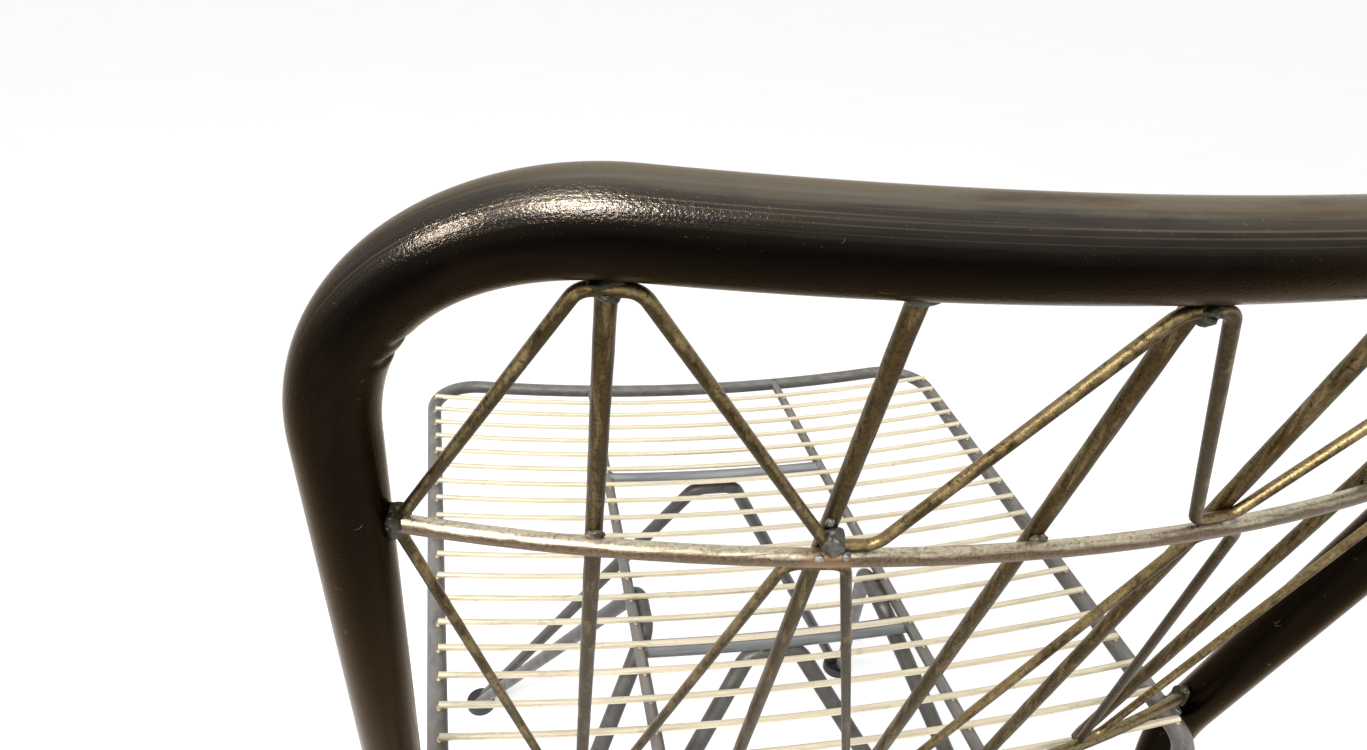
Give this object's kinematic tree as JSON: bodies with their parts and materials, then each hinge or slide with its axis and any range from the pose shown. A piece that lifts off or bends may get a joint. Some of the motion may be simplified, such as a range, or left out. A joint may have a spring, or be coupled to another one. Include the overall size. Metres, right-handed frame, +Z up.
{
  "type": "wire mesh dining chair",
  "caption": "Welded metal dining chair with a bent tube back filled with zigzag wires, a dished wire seat and a base of crossed rods.",
  "frame": {"origin": "on the floor under the middle of the chair's outline", "axes": "+Z up, +X to the sitter's left, -Y the way the sitter faces"},
  "size_m": [0.563, 0.549, 0.7952],
  "materials": {
    "tube_finish": "dark bronze, semi-gloss, with fine lighter streaks along the tube",
    "back_wire_finish": "antiqued brass, mottled dark patina worn bright on top",
    "seat_wire_finish": "pale champagne brass, satin",
    "frame_finish": "dark grey bronze, satin",
    "foot_plastic": "black moulded glide"
  },
  "bodies": {
    "root": {"back_lower_rod": "back_wire_finish", "back_tube": "tube_finish", "back_upper_rod": "back_wire_finish", "back_upright_1": "back_wire_finish", "back_upright_2": "back_wire_finish", "back_upright_3": "back_wire_finish", "back_upright_4": "back_wire_finish", "back_upright_5": "back_wire_finish", "base_front_rod": "frame_finish", "base_rear_rod": "frame_finish", "base_side_rod_left": "frame_finish", "base_side_rod_right": "frame_finish", "front_foot_left": "foot_plastic", "front_foot_right": "foot_plastic", "lower_zigzag": "back_wire_finish", "rear_cap_left": "foot_plastic", "rear_cap_right": "foot_plastic", "seat_crossbar_front": "frame_finish", "seat_crossbar_rear": "frame_finish", "seat_frame": "frame_finish", "seat_long_bar_left": "frame_finish", "seat_long_bar_right": "frame_finish", "seat_wire_01": "seat_wire_finish", "seat_wire_02": "seat_wire_finish", "seat_wire_03": "seat_wire_finish", "seat_wire_04": "seat_wire_finish", "seat_wire_05": "seat_wire_finish", "seat_wire_06": "seat_wire_finish", "seat_wire_07": "seat_wire_finish", "seat_wire_08": "seat_wire_finish", "seat_wire_09": "seat_wire_finish", "seat_wire_10": "seat_wire_finish", "seat_wire_11": "seat_wire_finish", "seat_wire_12": "seat_wire_finish", "seat_wire_13": "seat_wire_finish", "seat_wire_14": "seat_wire_finish", "seat_wire_15": "seat_wire_finish", "seat_wire_16": "seat_wire_finish", "seat_wire_17": "seat_wire_finish", "seat_wire_18": "seat_wire_finish", "seat_wire_19": "seat_wire_finish", "seat_wire_20": "seat_wire_finish", "upper_zigzag": "back_wire_finish"}
  },
  "joints": []
}
